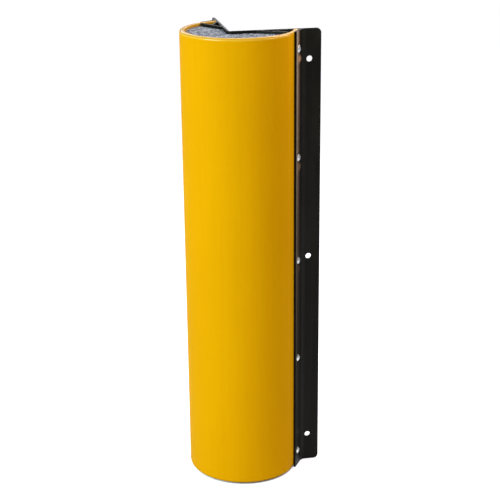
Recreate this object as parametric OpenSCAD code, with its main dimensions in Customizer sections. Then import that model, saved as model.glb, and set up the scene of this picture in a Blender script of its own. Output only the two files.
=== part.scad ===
// Foam corner guard: three quarters of a polyethylene pipe, filled with foam,
// riveted to a folded steel angle that is bolted round a wall corner.
// The wall corner line is the Z axis, and the wall fills the quarter X > 0, Y > 0.
// The guard is the same on both sides of the plane X = Y, so each left piece
// is the mirror image of the right one.

/* [Wall angle] */
// Height of the wall angle, which is the height of the whole guard
back_len = 1005; // [400:5:2400]
// Width of each leg, from the wall corner line to its free edge
leg_w = 194; // [188:1:240]
// Sheet thickness of the wall angle
back_t = 5; // [3:0.5:8]
// Inside radius of the fold, on the wall side
fold_r = 3; // [1:0.5:8]
// Corner radius at the free edge of each leg
leg_corner_r = 10; // [3:1:20]
// Diameter of the wall bolt holes
hole_d = 13; // [7:0.5:14]
// Number of wall bolt holes in each leg
hole_count = 3; // [2:1:6]
// Distance of the bolt holes from the free edge of the leg
hole_edge = 25; // [18:0.5:28]
// Distance of the outermost bolt holes from the ends of the angle
hole_end = 64; // [30:1:120]

/* [Shell] */
// Outer diameter of the pipe that the shell is cut from
shell_d = 250; // [236:1:256]
// Wall thickness of the shell
shell_t = 12; // [9:0.5:16]
// Distance of the pipe axis behind each wall face
axis_in = 25; // [20:1:30]
// Height of the shell's foot above the foot of the wall angle
shell_foot = 5; // [0.5:0.5:30]
// Distance of the shell's head below the head of the wall angle
shell_head = 0; // [0:0.5:30]
// Rounding of the outer rim
rim_r = 5; // [1:0.5:6]
// Rounding of the inner rim
rim_in_r = 2; // [0.5:0.5:3]

/* [Foam] */
// Depth of the foam below the rims of the shell
foam_sink = 6; // [1:0.5:40]
// Gap between the foam and what it fills
foam_gap = 0.3; // [0.1:0.1:1]

/* [Clamp strips] */
// Thickness of the outer clamp strips
strip_t = 5; // [2:0.5:6]
// Angle between a clamp strip and its leg
strip_angle = 58.5; // [56:0.5:62]
// Depth of the flat seat that the shell has for each clamp strip
strip_seat = 4; // [3:0.5:6]
// Distance from the middle of the seat to the free edge of its strip
strip_short = 1; // [0:0.5:6]
// Fillet radius of the weld between a clamp strip and its leg, where the bolt holes leave room for it
strip_weld_r = 13; // [4:0.5:16]

/* [Inner webs] */
// Thickness of the inner webs, which the foam leans on
web_t = 4; // [2:0.5:6]
// Distance of a web's front face from the wall corner line, at the leg
web_root = 55; // [45:1:62]
// Angle between an inner web and its leg
web_angle = 31.5; // [29:0.5:34]
// Fillet radius of the weld behind an inner web
web_weld_r = 3; // [1:0.5:4]
// Thickness of the brace behind each inner web
brace_t = 3; // [2:0.5:4]
// Distance along the web from its outer edge to its brace
brace_in = 32; // [28:1:35]
// Distance between the foot of the brace and the end of the shell
brace_clear = 3; // [1:0.5:5]

/* [Rivets] */
// Number of blind rivets on each side
rivet_count = 5; // [2:1:7]
// Distance of the outermost rivets from the ends of the angle
rivet_end = 38; // [15:1:100]
// Distance of the rivets from the middle of the seat
rivet_set = 15; // [14:0.5:19]
// Diameter of the rivet bodies
rivet_d = 7.8; // [6.4:0.2:8.2]
// Diameter of the rivet heads
rivet_head_d = 16; // [13:0.5:18]
// Height of the domed rivet heads
rivet_head_h = 4; // [2.4:0.1:4.5]
// Diameter of the mandrel left in each rivet
mandrel_d = 4.8; // [3:0.1:5.2]
// Depth of the mandrel's broken end below the top of the dome
mandrel_sink = 0.8; // [0.3:0.1:1.2]
// Diameter of the formed bulb on the inner end of a rivet
bulb_d = 11; // [10:0.2:12]
// Length of the formed bulb
bulb_h = 4.6; // [3.6:0.2:5.6]
// Outer diameter of the washers under the bulbs
washer_d = 17; // [14:0.5:18]
// Thickness of the washers
washer_t = 1.5; // [0.8:0.1:2]
// Clearance round a washer in its spot face on the inside of the shell
spot_clear = 1; // [0.5:0.1:1.5]

/* [Fit] */
// Clearance of a part that passes through a hole
hole_fit = 0.2; // [0.1:0.05:0.5]
// Gap between the shell and the legs, webs and washers that rest against it
seat_gap = 0.2; // [0.1:0.05:0.4]

/* [Hidden] */
SIDES = ["right", "left"];
LONG_PIECES = ["clamp_strip", "strip_weld", "inner_web", "web_weld", "web_brace"];
RIVET_PIECES = ["rivet", "rivet_mandrel", "rivet_washer"];
$fn = 96;
// Facets of the pipe's large circles
pipe_fn = 180;
// Facets of the full circle that a rim's rounding is cut from
rim_fn = 24;
// Flat strokes that the hollow face of a weld is drawn with
weld_strokes = 8;
// Least distance from the toe of a weld to a bolt hole
hole_clear = 0.5;
// Least fillet that still holds a strip
weld_least_r = 2;

black = [0.11, 0.11, 0.1];
weld_black = [0.16, 0.16, 0.15];
yellow = [0.95, 0.74, 0.04];
foam_grey = [0.66, 0.7, 0.75];
zinc = [0.78, 0.79, 0.8];
steel = [0.5, 0.5, 0.5];

// Reach of a cutting shape past what it cuts
past = 10;

// Faces of the shell
shell_r = shell_d / 2;
bore_r = shell_r - shell_t;
shell_z = shell_foot;
shell_len = back_len - shell_foot - shell_head;
// Along a leg, where the inside of the shell reaches it
shell_end_in = axis_in + sqrt(pow(bore_r, 2) - pow(axis_in + back_t, 2));

// A clamp strip, measured from the pipe axis along the strip's outward normal
strip_in = shell_r - strip_seat;
strip_out = strip_in + strip_t;
// Along a clamp strip, from the middle of its seat to its leg
strip_run = (strip_out * cos(strip_angle) - axis_in - back_t) / sin(strip_angle);
// Along a leg, where the outer face of the clamp strip reaches it
strip_root = axis_in + strip_out * sin(strip_angle) + strip_run * cos(strip_angle);
// Fillet radius of the strip's weld, which ends short of the bolt holes
weld_room = leg_w - hole_edge - hole_d / 2 - hole_clear - strip_root;
strip_fillet_r = max(weld_least_r, min(strip_weld_r, weld_room / tan(strip_angle / 2)));

// Along a leg, where the back face of the inner web reaches it
web_back_root = web_root + web_t / sin(web_angle);
// Along the front face of the inner web, from its root to its middle on the pipe and to its outer edge
root_from_axis = [web_root - axis_in, -back_t - axis_in];
web_mid = -root_from_axis * [cos(web_angle), -sin(web_angle)];
web_len = web_mid + sqrt(pow(bore_r - seat_gap, 2) + pow(web_mid, 2) - pow(norm(root_from_axis), 2));
brace_at = web_len - brace_in;
// The brace runs from the back of the web to the leg, just short of the shell
brace_head = [
    web_root + brace_at * cos(web_angle) + web_t * sin(web_angle),
    -back_t - brace_at * sin(web_angle) + web_t * cos(web_angle)
];
brace_foot = [shell_end_in - brace_clear, -back_t];
brace_angle = atan2(brace_foot[1] - brace_head[1], brace_foot[0] - brace_head[0]);
brace_len = norm(brace_foot - brace_head);

// Rivets and bolt holes stand in even rows
rivet_step = (back_len - 2 * rivet_end) / (rivet_count - 1);
hole_step = (back_len - 2 * hole_end) / (hole_count - 1);
// The spot faces that the washers lie on, measured from the pipe axis
spot_d = washer_d + 2 * spot_clear;
spot_seat = sqrt(pow(bore_r, 2) - pow(rivet_set - spot_d / 2, 2));
// Length of a rivet from under its head to the inner face of its washer
grip = strip_out - spot_seat + seat_gap + washer_t;
// Radius of the sphere that the rivet's dome is cut from, above a thin rim
head_rim = 0.8;
dome_h = rivet_head_h - head_rim;
dome_r = (pow(rivet_head_d / 2, 2) + pow(dome_h, 2)) / (2 * dome_h);
// Rounding of the formed bulb
bulb_round = 1;
// The mandrel's head, which stands below the bulb that it has formed
mandrel_flare = 0.8;
mandrel_head_d = mandrel_d + 2 * mandrel_flare;
mandrel_head_h = 2.2;

// Turns a right-hand piece into its left-hand twin
module to_left() {
    mirror([1, -1, 0]) children();
}

// The space that a leg's sheet and the wall behind it take, in plan
module behind_leg(gap = 0) {
    translate([-back_t - gap, -back_t - gap]) square(2 * leg_w);
}

// A rectangle with its own radii at its inner and outer corners
module wall_section(w, h, r_in, r_out) {
    translate([r_in, 0]) square([w - r_in - r_out, h]);
    translate([0, r_in]) square([r_in, h - 2 * r_in]);
    translate([w - r_out, r_out]) square([r_out, h - 2 * r_out]);
    for (z = [r_in, h - r_in]) translate([r_in, z]) circle(r_in, $fn = rim_fn);
    for (z = [r_out, h - r_out]) translate([w - r_out, z]) circle(r_out, $fn = rim_fn);
}

// A concave weld in the corner between two faces, the first along X
module weld_section(r, angle) {
    reach = r / tan(angle / 2);
    hollow = [
        for (i = [0 : weld_strokes])
            let (turn = -90 - (180 - angle) * i / weld_strokes)
                [reach + r * cos(turn), r + r * sin(turn)]
    ];
    polygon(concat([[0, 0]], hollow));
}

// Stands its children at rivet i of the right side, counted from the foot, with +Z out of the head
module at_rivet(i) {
    translate([axis_in, axis_in, rivet_end + (i - 1) * rivet_step])
        rotate([0, 0, strip_angle - 90])
            translate([strip_out, rivet_set, 0])
                rotate([0, 90, 0]) children();
}

// Drills through the right clamp strip and the shell at each rivet
module rivet_holes() {
    for (i = [1 : rivet_count])
        at_rivet(i) translate([0, 0, -grip - past]) cylinder(d = rivet_d + hole_fit, h = grip + 2 * past);
}

// What the right side of the shell loses: the seat of the clamp strip, the rivet holes and their spot faces
module shell_cuts() {
    translate([axis_in, axis_in, -past])
        rotate(strip_angle - 90)
            translate([strip_in, -shell_r, 0]) cube([shell_r, shell_d, back_len + 2 * past]);
    rivet_holes();
    for (i = [1 : rivet_count])
        at_rivet(i) translate([0, 0, spot_seat - strip_out - past]) cylinder(d = spot_d, h = past);
}

// Folded sheet section of the wall angle
module angle_section() {
    translate([fold_r, -back_t]) square([leg_w - fold_r, back_t]);
    translate([-back_t, fold_r]) square([back_t, leg_w - fold_r]);
    intersection() {
        difference() {
            translate([fold_r, fold_r]) circle(fold_r + back_t);
            translate([fold_r, fold_r]) circle(fold_r);
        }
        translate([-back_t, -back_t]) square(back_t + fold_r);
    }
}

// What rounds one corner of the right leg, at its foot
module leg_corner_cut() {
    translate([leg_w - leg_corner_r, past, 0])
        difference() {
            translate([0, -2 * past, -past]) cube([leg_corner_r + past, 2 * past, leg_corner_r + past]);
            translate([0, past, leg_corner_r]) rotate([90, 0, 0]) cylinder(r = leg_corner_r, h = 4 * past);
        }
}

// Bolt holes and rounded corners of the right leg
module leg_cuts() {
    for (i = [0 : hole_count - 1])
        translate([leg_w - hole_edge, past, hole_end + i * hole_step])
            rotate([90, 0, 0]) cylinder(d = hole_d, h = 2 * past + back_t);
    leg_corner_cut();
    translate([0, 0, back_len]) mirror([0, 0, 1]) leg_corner_cut();
}

module wall_angle() {
    color(black)
        difference() {
            linear_extrude(back_len) angle_section();
            leg_cuts();
            to_left() leg_cuts();
        }
}

module shell() {
    color(yellow)
        difference() {
            translate([axis_in, axis_in, shell_z])
                rotate_extrude($fn = pipe_fn)
                    translate([bore_r, 0]) wall_section(shell_t, shell_len, rim_in_r, rim_r);
            translate([0, 0, -past]) linear_extrude(back_len + 2 * past) behind_leg(seat_gap);
            shell_cuts();
            to_left() shell_cuts();
        }
}

// Lays its children's X axis along the front face of the right inner web, from its root
module along_web() {
    translate([web_root, -back_t]) rotate(-web_angle) children();
}

// The space behind the front face of the right inner web, which the foam leaves free
module behind_web(gap) {
    along_web() translate([-past, -gap]) square(shell_d);
}

module foam_core() {
    color(foam_grey)
        translate([0, 0, shell_z + foam_sink])
            linear_extrude(shell_len - 2 * foam_sink)
                difference() {
                    translate([axis_in, axis_in]) circle(bore_r - foam_gap, $fn = pipe_fn);
                    behind_leg(foam_gap);
                    behind_web(foam_gap);
                    to_left() behind_web(foam_gap);
                }
}

module clamp_strip_right() {
    color(black)
        difference() {
            linear_extrude(back_len)
                difference() {
                    translate([axis_in, axis_in])
                        rotate(strip_angle - 90)
                            translate([strip_in, strip_short])
                                square([strip_t, strip_run - strip_short + past]);
                    behind_leg();
                }
            rivet_holes();
        }
}

module clamp_strip_left() {
    to_left() clamp_strip_right();
}

module strip_weld_right() {
    color(weld_black)
        linear_extrude(back_len)
            translate([strip_root, -back_t])
                rotate(180 + strip_angle) weld_section(strip_fillet_r, 180 - strip_angle);
}

module strip_weld_left() {
    to_left() strip_weld_right();
}

module inner_web_right() {
    color(black)
        linear_extrude(back_len)
            intersection() {
                translate([axis_in, axis_in]) circle(bore_r - seat_gap, $fn = pipe_fn);
                difference() {
                    along_web() translate([-past, 0]) square([shell_d, web_t]);
                    behind_leg();
                }
            }
}

module inner_web_left() {
    to_left() inner_web_right();
}

module web_weld_right() {
    color(weld_black)
        linear_extrude(back_len)
            translate([web_back_root, -back_t]) rotate(-web_angle) weld_section(web_weld_r, web_angle);
}

module web_weld_left() {
    to_left() web_weld_right();
}

module web_brace_right() {
    color(black)
        linear_extrude(back_len)
            difference() {
                translate(brace_head)
                    rotate(brace_angle) translate([-past, 0]) square([brace_len + past, brace_t]);
                behind_leg();
                along_web() translate([0, -shell_r]) square([shell_d, shell_r + web_t]);
            }
}

module web_brace_left() {
    to_left() web_brace_right();
}

// Half section of a set blind rivet, its head above Y = 0
module rivet_section() {
    difference() {
        union() {
            square([rivet_head_d / 2, head_rim]);
            intersection() {
                translate([0, rivet_head_h - dome_r]) circle(dome_r);
                translate([0, head_rim]) square([rivet_head_d / 2, dome_h]);
            }
            translate([0, -grip]) square([rivet_d / 2, grip]);
            translate([0, -grip - bulb_h]) square([bulb_d / 2 - bulb_round, bulb_h]);
            translate([0, -grip - bulb_h + bulb_round]) square([bulb_d / 2, bulb_h - 2 * bulb_round]);
            for (z = [bulb_round, bulb_h - bulb_round])
                translate([bulb_d / 2 - bulb_round, -grip - z]) circle(bulb_round);
        }
        translate([0, -grip - bulb_h - past])
            square([(mandrel_d + hole_fit) / 2, grip + bulb_h + rivet_head_h + 2 * past]);
    }
}

module rivet_right(i) {
    color(zinc) at_rivet(i) rotate_extrude() rivet_section();
}

module rivet_left(i) {
    to_left() rivet_right(i);
}

module rivet_mandrel_right(i) {
    foot = -grip - bulb_h;
    color(steel)
        at_rivet(i) {
            translate([0, 0, foot]) cylinder(d = mandrel_d, h = rivet_head_h - mandrel_sink - foot);
            translate([0, 0, foot - mandrel_head_h]) cylinder(d = mandrel_head_d, h = mandrel_head_h);
        }
}

module rivet_mandrel_left(i) {
    to_left() rivet_mandrel_right(i);
}

module rivet_washer_right(i) {
    color(zinc)
        at_rivet(i)
            translate([0, 0, -grip])
                difference() {
                    cylinder(d = washer_d, h = washer_t);
                    translate([0, 0, -past]) cylinder(d = rivet_d + hole_fit, h = washer_t + 2 * past);
                }
}

module rivet_washer_left(i) {
    to_left() rivet_washer_right(i);
}

shell();
foam_core();
wall_angle();
clamp_strip_right();
clamp_strip_left();
strip_weld_right();
strip_weld_left();
inner_web_right();
inner_web_left();
web_weld_right();
web_weld_left();
web_brace_right();
web_brace_left();
for (i = [1 : rivet_count]) {
    rivet_right(i);
    rivet_left(i);
    rivet_mandrel_right(i);
    rivet_mandrel_left(i);
    rivet_washer_right(i);
    rivet_washer_left(i);
}
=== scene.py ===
"""A foam corner guard in a plain studio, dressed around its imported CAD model.

The guard stands upright: a length of thick yellow pipe, cut open at the back, is riveted to a black folded
steel angle and filled with bonded foam. All lengths are in metres, in the frame of the CAD model: the wall
corner line is the Z axis and the wall fills the quarter with X and Y positive.
"""

from __future__ import annotations

import logging
import math
import random
import sys
from dataclasses import dataclass
from enum import Enum
from functools import partialmethod

import bmesh
import bpy
from bpy.types import ID, Material, Mesh, Node, NodeSocket, NodeTree, Object
from mathutils import Matrix, Vector, noise
from mathutils.geometry import delaunay_2d_cdt

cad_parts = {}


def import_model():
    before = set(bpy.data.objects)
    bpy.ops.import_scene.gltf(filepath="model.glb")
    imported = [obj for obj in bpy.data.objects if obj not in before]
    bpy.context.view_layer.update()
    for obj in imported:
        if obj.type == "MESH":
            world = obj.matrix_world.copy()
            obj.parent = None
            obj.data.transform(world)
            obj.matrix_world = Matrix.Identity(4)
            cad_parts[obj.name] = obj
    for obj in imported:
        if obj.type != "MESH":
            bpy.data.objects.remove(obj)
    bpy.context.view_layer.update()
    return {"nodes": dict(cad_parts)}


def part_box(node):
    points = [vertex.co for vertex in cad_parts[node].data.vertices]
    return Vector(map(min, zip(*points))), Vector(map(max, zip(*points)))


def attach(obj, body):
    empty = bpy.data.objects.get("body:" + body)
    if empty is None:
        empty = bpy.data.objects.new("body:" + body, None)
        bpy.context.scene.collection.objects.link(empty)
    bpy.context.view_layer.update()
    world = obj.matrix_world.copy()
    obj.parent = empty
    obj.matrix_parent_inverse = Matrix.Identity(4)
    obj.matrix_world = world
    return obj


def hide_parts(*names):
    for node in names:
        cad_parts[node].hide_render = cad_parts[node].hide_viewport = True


LOG = logging.getLogger("corner_guard")
MM = 0.001
BODY = "root"
MERGE = 1e-6
CAD_MERGE = 2e-6
ROUGH = (3.0, 0.6)
Outline = list[tuple[float, float]]


class Side(Enum):
    """The two mirrored sides of the guard."""

    RIGHT = "right"
    LEFT = "left"

    def swap(self, x: float, y: float) -> tuple[float, float]:
        """Turns a right-hand place into this side's."""
        return (x, y) if self is Side.RIGHT else (y, x)

    def turn(self, angle: float) -> float:
        """Turns a right-hand direction, in radians from +X, into this side's."""
        return angle if self is Side.RIGHT else math.pi / 2 - angle


@dataclass(frozen=True)
class Sizes:
    """The sizes that the pieces share, as the CAD model has them."""

    axis: float = 25 * MM
    leg_face: float = -5 * MM
    height: float = 1005 * MM
    shell_radius: float = 125 * MM
    shell_wall: float = 12 * MM
    shell_foot: float = 5 * MM
    rim: float = 5 * MM
    inner_rim: float = 2 * MM
    end_gap: float = 0.2 * MM
    strip_angle: float = math.radians(58.5)
    strip_seat: float = 121 * MM
    strip_face: float = 126 * MM
    rivet_set: float = 15 * MM
    rivet_count: int = 5
    rivet_first: float = 38 * MM
    grip: float = 14.86 * MM

    @property
    def normal_angle(self) -> float:
        """Direction of the right strip's outward normal, in radians from +X."""
        return self.strip_angle - math.pi / 2

    @property
    def rivet_step(self) -> float:
        """Distance between two rivets of a row."""
        return (self.height - 2 * self.rivet_first) / (self.rivet_count - 1)

    def on_strip(self, side: Side, outward: float, along: float) -> tuple[float, float]:
        """A place on a clamp strip, in plan.

        Args:
            side: The side of the guard.
            outward: Distance from the pipe axis along the strip's normal.
            along: Distance from the middle of the seat towards the leg.

        Returns:
            Its X and Y.
        """
        turn = self.normal_angle
        x = self.axis + outward * math.cos(turn) - along * math.sin(turn)
        y = self.axis + outward * math.sin(turn) + along * math.cos(turn)
        return side.swap(x, y)


SIZES = Sizes()


class Number:
    """A value socket of a node tree that Python's operators work on."""

    def __init__(self, graph: Graph, socket: NodeSocket) -> None:
        """Wraps a socket of a graph."""
        self.graph = graph
        self.socket = socket

    def math(self, operation: str, *others: Number | float) -> Number:
        """Adds a Math node with this value first."""
        return self.graph.math(operation, self, *others)

    def swapped(self, operation: str, first: Number | float) -> Number:
        """Adds a Math node with this value second, for an operator with a plain number on its left."""
        return self.graph.math(operation, first, self)

    __add__ = __radd__ = partialmethod(math, "ADD")
    __mul__ = __rmul__ = partialmethod(math, "MULTIPLY")
    __sub__, __rsub__ = partialmethod(math, "SUBTRACT"), partialmethod(swapped, "SUBTRACT")
    __truediv__, __rtruediv__ = partialmethod(math, "DIVIDE"), partialmethod(swapped, "DIVIDE")
    __pow__ = partialmethod(math, "POWER")
    sine = partialmethod(math, "SINE")
    cosine = partialmethod(math, "COSINE")
    size = partialmethod(math, "ABSOLUTE")
    least = partialmethod(math, "MINIMUM")
    most = partialmethod(math, "MAXIMUM")
    above = partialmethod(math, "GREATER_THAN")

    def ramp(self, low: Number | float, high: Number | float) -> Number:
        """Rises smoothly from nought at low to one at high."""
        inputs = {0: self, 1: low, 2: high, 3: 0.0, 4: 1.0}
        return self.graph.number(self.graph.add("ShaderNodeMapRange", {"interpolation_type": "SMOOTHSTEP"}, inputs))

    def band(self, low: float, full: float, fading: float, end: Number | float) -> Number:
        """Rises to one between low and full, and falls back to nought between fading and end."""
        return self.ramp(low, full) * (1 - self.ramp(fading, end))


class Graph:
    """A node tree with one method that adds nodes."""

    def __init__(self, tree: NodeTree) -> None:
        """Starts on an emptied tree."""
        self.tree = tree
        tree.nodes.clear()

    def add(self, kind: str, settings: dict | None = None, inputs: dict | None = None) -> Node:
        """Adds a node.

        Args:
            kind: The node's type.
            settings: Its properties, which are set first.
            inputs: Values, sockets or Numbers for its sockets, by name or index.

        Returns:
            The new node.
        """
        node = self.tree.nodes.new(kind)
        for name, value in (settings or {}).items():
            setattr(node, name, value)
        for key, value in (inputs or {}).items():
            self.connect(value, node.inputs[key])
        return node

    def connect(self, value: object, socket: NodeSocket) -> None:
        """Feeds a socket.

        Args:
            value: A socket or a Number to link, or a plain value to set.
            socket: The socket that takes it.
        """
        if isinstance(value, Number):
            value = value.socket
        if isinstance(value, NodeSocket):
            self.tree.links.new(value, socket)
        else:
            socket.default_value = value

    def math(self, operation: str, *values: Number | float) -> Number:
        """Adds a Math node over some values."""
        return self.number(self.add("ShaderNodeMath", {"operation": operation}, dict(enumerate(values))))

    def number(self, node: Node, output: int | str = 0) -> Number:
        """Wraps an output of a node."""
        return Number(self, node.outputs[output])

    def split(self, vector: NodeSocket) -> tuple[Number, Number, Number]:
        """The three parts of a vector."""
        node = self.add("ShaderNodeSeparateXYZ", None, {0: vector})
        return self.number(node, 0), self.number(node, 1), self.number(node, 2)

    def join(self, x: object, y: object, z: object) -> NodeSocket:
        """A vector of three parts."""
        return self.add("ShaderNodeCombineXYZ", None, {0: x, 1: y, 2: z}).outputs[0]

    def noise(self, vector: object, scale: float, detail: float = 2.0, roughness: float = 0.5) -> Number:
        """Plain noise over a vector, from nought to one."""
        inputs = {"Vector": vector, "Scale": scale, "Detail": detail, "Roughness": roughness}
        return self.number(self.add("ShaderNodeTexNoise", {"noise_dimensions": "3D"}, inputs))


class ShaderGraph(Graph):
    """The shader tree of one finish, on Object coordinates."""

    def __init__(self, name: str) -> None:
        """Makes a new material and empties its tree.

        Args:
            name: Name of the material.
        """
        self.material = bpy.data.materials.new(name)
        self.material.use_nodes = True
        super().__init__(self.material.node_tree)
        self.place = self.add("ShaderNodeTexCoord").outputs["Object"]

    def stretched(self, x: float, y: float, z: float) -> NodeSocket:
        """Object coordinates, scaled along each axis."""
        node = self.add("ShaderNodeMapping", {"vector_type": "POINT"}, {"Vector": self.place, "Scale": (x, y, z)})
        return node.outputs[0]

    def blend(self, share: Number | float, low: object, high: object) -> NodeSocket:
        """Mixes two colours."""
        node = self.add("ShaderNodeMix", {"data_type": "RGBA"}, {0: share, 6: low, 7: high})
        return node.outputs[2]

    def cells(self, scale: float, feature: str = "F1", vector: object = None) -> Node:
        """Voronoi cells over Object coordinates."""
        where = self.place if vector is None else vector
        return self.add("ShaderNodeTexVoronoi", {"feature": feature}, {"Vector": where, "Scale": scale})

    def bump(self, height: Number, depth: float, under: object = None) -> NodeSocket:
        """A Bump node.

        Args:
            height: The relief, from nought to one.
            depth: What one stands for, in metres.
            under: The normal of a bump below this one.

        Returns:
            The bent normal.
        """
        inputs = {"Height": height, "Distance": depth, "Strength": 1.0}
        if under is not None:
            inputs["Normal"] = under
        return self.add("ShaderNodeBump", None, inputs).outputs[0]

    def finish(self, constants: dict, varying: dict) -> Material:
        """Ends the tree in a Principled shader.

        Args:
            constants: Plain values for the shader's sockets.
            varying: Sockets and Numbers for them.

        Returns:
            The finished material.
        """
        shader = self.add("ShaderNodeBsdfPrincipled", None, {**constants, **varying})
        self.add("ShaderNodeOutputMaterial", None, {"Surface": shader.outputs[0]})
        return self.material


@dataclass(frozen=True)
class PipeYellow:
    """Semi-gloss yellow pipe plastic with faint lines, scuffs, a paler polished head rim that also carries a
    painted highlight, and a painted shadow along the foot rim.
    """

    colour: tuple = (0.478, 0.228, 0.0002, 1.0)
    deep: tuple = (0.432, 0.196, 0.0001, 1.0)
    # Paler head rim colour: partly the machined plastic, partly a painted highlight.
    rim_pale_and_highlight: tuple = (0.62, 0.36, 0.03, 1.0)
    scuff_colour: tuple = (0.51, 0.27, 0.01, 1.0)
    # Colour of the painted shadow along the foot rim.
    painted_foot_shadow: tuple = (0.1, 0.05, 0.004, 1.0)
    rim_pale_and_highlight_share: float = 0.6
    scuff_share: float = 0.3
    painted_foot_shadow_share: float = 0.75
    line_scale: tuple = (260, 260, 2.5)
    cloud_scale: tuple = (9, 9, 4)
    scratch_scale: tuple = (34, 34, 7)
    turned_scale: tuple = (300, 300, 1400)
    fine_scale: float = 700.0
    line_depth: float = 0.05 * MM
    fine_depth: float = 0.015 * MM
    turned_depth: float = 0.05 * MM
    roughness: float = 0.42
    rim_coat: float = 0.55
    blur: float = 0.6 * MM
    painted_foot_shadow_start: float = 0.5 * MM
    scratch_width: float = 0.018
    scuffed: tuple = (0.56, 0.7)
    clouded: tuple = (0.3, 0.75)
    cloud_share: float = 0.35
    lined: tuple = (0.35, 0.7)
    line_share: float = 0.25

    def material(self) -> Material:
        """Builds the finish.

        Returns:
            The material.
        """
        s, g = SIZES, ShaderGraph("pipe_yellow")
        z = g.split(g.place)[2]
        lines = g.noise(g.stretched(*self.line_scale), 1.0, *ROUGH)
        clouds = g.noise(g.stretched(*self.cloud_scale), 1.0, 2.0)
        scratches = g.cells(1.0, "DISTANCE_TO_EDGE", g.stretched(*self.scratch_scale))
        scuff = (1 - g.number(scratches, "Distance").ramp(0.0, self.scratch_width)) * clouds.ramp(*self.scuffed)
        rim = z.ramp(s.height - s.rim - self.blur, s.height - s.rim + self.blur)
        # Painted shadow: the foot rim darkens towards brown and fades out one rim radius higher, for the shade
        # where the shell meets the floor.
        painted_foot_shadow_mask = 1 - z.ramp(s.shell_foot + self.painted_foot_shadow_start, s.shell_foot + s.rim + self.painted_foot_shadow_start)
        share = clouds.ramp(*self.clouded) * self.cloud_share + lines.ramp(*self.lined) * self.line_share
        colour = g.blend(share, self.colour, self.deep)
        colour = g.blend(scuff * self.scuff_share, colour, self.scuff_colour)
        # Painted highlight: the head rim is blended towards a paler yellow, on top of being machined paler.
        colour = g.blend(rim * self.rim_pale_and_highlight_share, colour, self.rim_pale_and_highlight)
        colour = g.blend(painted_foot_shadow_mask * self.painted_foot_shadow_share, colour, self.painted_foot_shadow)
        normal = g.bump(lines, self.line_depth)
        normal = g.bump(g.noise(g.place, self.fine_scale), self.fine_depth, normal)
        turned = g.noise(g.stretched(*self.turned_scale), 1.0)
        return g.finish(
            {"Specular IOR Level": 0.004, "Coat Roughness": 0.16, "Coat IOR": 1.5},
            {
                "Base Color": colour,
                "Roughness": self.roughness + lines * 0.1 + scuff * 0.15,
                "Coat Weight": rim * self.rim_coat,
                "Normal": g.bump(turned * rim, self.turned_depth, normal),
            },
        )


@dataclass(frozen=True)
class StripPaintedReflections:
    """Painted reflections on the outer face of the clamp strips, strongest at the head and placed from the middle
    of the seat.
    """

    skin: float = 0.3 * MM
    line: tuple = (1 * MM, 5 * MM, 6 * MM)
    line_end: float = 19 * MM
    line_taper: float = 0.012
    # Band of the brown painted reflection beside the glint.
    reflection_tail: tuple = (6 * MM, 14 * MM, 17 * MM, 25 * MM)
    spot_down: float = 22 * MM
    spot_along: float = 21 * MM
    spot_height: float = 9.5 * MM
    spot_width: float = 12 * MM
    spot_edge: tuple = (0.4, 1.1)
    fray: float = 0.8
    fray_scale: float = 170.0

    def marks(self, g: ShaderGraph) -> tuple[Number, Number, Number]:
        """Works out how far each mark shows at a place.

        Args:
            g: The graph of the finish.

        Returns:
            A painted glint in a pale line beside the strip's free edge, a brown painted reflection fading out next
            to it, and a painted reflection below each rivet.
        """
        s = SIZES
        cosine, sine = math.cos(s.normal_angle), math.sin(s.normal_angle)
        x, y, z = g.split(g.place)
        x, y = x - s.axis, y - s.axis
        outward = (x * cosine + y * sine).most(y * cosine + x * sine)
        along = (y * cosine - x * sine).least(x * cosine - y * sine)
        face = outward.above(s.strip_face - self.skin) * (1 - outward.above(s.strip_face + self.skin))
        # The painted reflections on the strips grow stronger towards the head, where more light falls.
        fade = z.ramp(-0.2 * s.height, 1.15 * s.height)
        strength = face * fade * fade
        # Painted glint: a pale line a few millimetres in from the free edge, narrowing towards the foot.
        line = along.band(*self.line, self.line_end - (s.height - z) * self.line_taper)
        # Painted reflection: a frayed pale orange patch on the strip a little below each rivet head.
        below = (s.height - s.rivet_first - z).math("MODULO", s.rivet_step)
        down, across = (below - self.spot_down) / self.spot_height, (along - self.spot_along) / self.spot_width
        frayed = g.noise(g.place, self.fray_scale, *ROUGH) * self.fray - self.fray / 2
        spot = 1 - ((down * down + across * across) ** 0.5 + frayed).ramp(*self.spot_edge)
        return strength * line, strength * along.band(*self.reflection_tail), strength * strength * spot


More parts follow.
